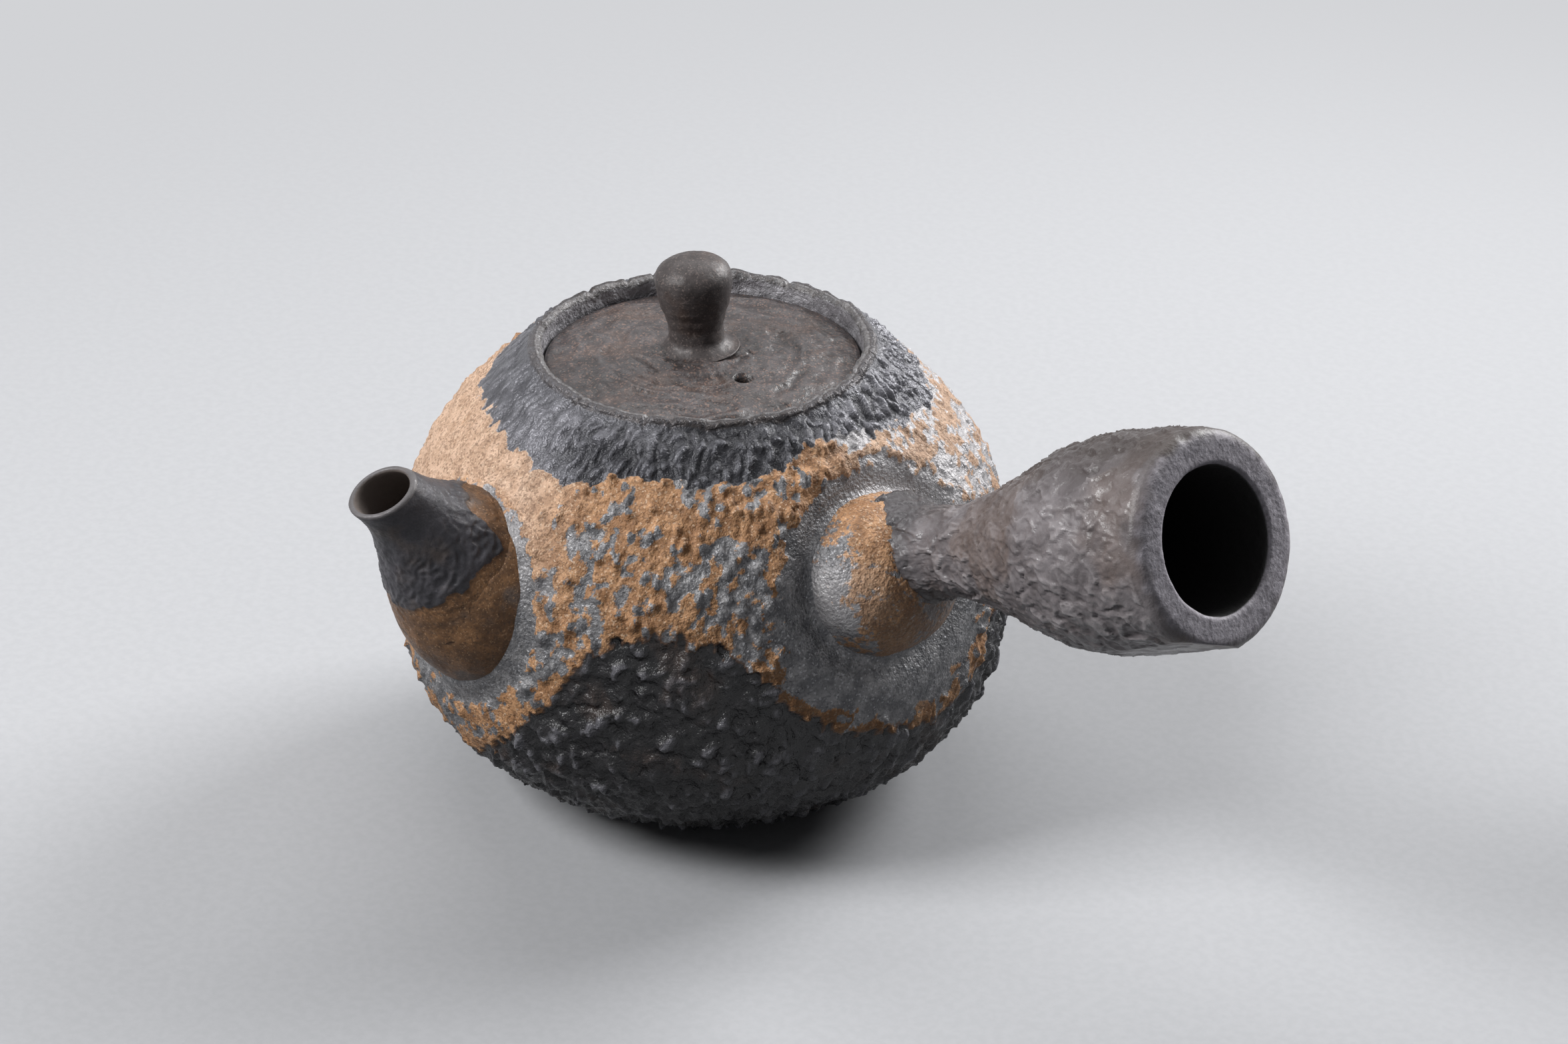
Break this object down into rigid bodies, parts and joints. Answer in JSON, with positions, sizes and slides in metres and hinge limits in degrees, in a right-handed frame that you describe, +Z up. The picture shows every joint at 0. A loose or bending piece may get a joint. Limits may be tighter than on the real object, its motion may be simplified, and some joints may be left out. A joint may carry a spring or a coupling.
{
  "type": "side-handle teapot",
  "caption": "Small round unglazed stoneware teapot with a hollow side handle, an upturned spout, a pierced strainer behind it, and a loose knobbed lid with a steam hole.",
  "frame": {"origin": "centre of the flat base, on the pot's axis, on the surface it stands on", "axes": "+Z up along the pot's axis, +X the way the handle points as seen from above, the spout 98 degrees clockwise from it"},
  "size_m": [0.148, 0.1043, 0.0852],
  "materials": {
    "wall_clay": "unglazed stoneware: rough tan, blue-grey and charcoal, with a slight sparkle",
    "root_clay": "unglazed stoneware: smooth brown bronze with fine sparkle",
    "spout_clay": "unglazed stoneware: charcoal, faint sheen",
    "socket_clay": "unglazed stoneware: tan and blue-grey, faint sheen",
    "handle_clay": "unglazed stoneware: matte taupe with wrinkled stretch marks",
    "lid_clay": "unglazed stoneware: dark brown taupe, matte",
    "knob_clay": "unglazed stoneware: dark taupe, satin on the shoulders",
    "inner_clay": "unglazed stoneware: dark grey, matte"
  },
  "bodies": {
    "pot": {"pot_body": "wall_clay", "spout_root": "root_clay", "spout": "spout_clay", "strainer": "inner_clay", "handle_socket": "socket_clay", "handle": "handle_clay"},
    "lid_ring": {"lid_flange": "inner_clay"},
    "lid": {"lid_plate": "lid_clay", "lid_knob": "knob_clay"}
  },
  "joints": [
    {"name": "lid_lift", "type": "slide", "parent": "pot", "child": "lid_ring", "axis": [0, 0, 1], "range_m": [0, 0.04]},
    {"name": "lid_turn", "type": "hinge", "parent": "lid_ring", "child": "lid", "pos_m": [0, 0, 0.065], "axis": [0, 0, 1], "continuous": true}
  ]
}
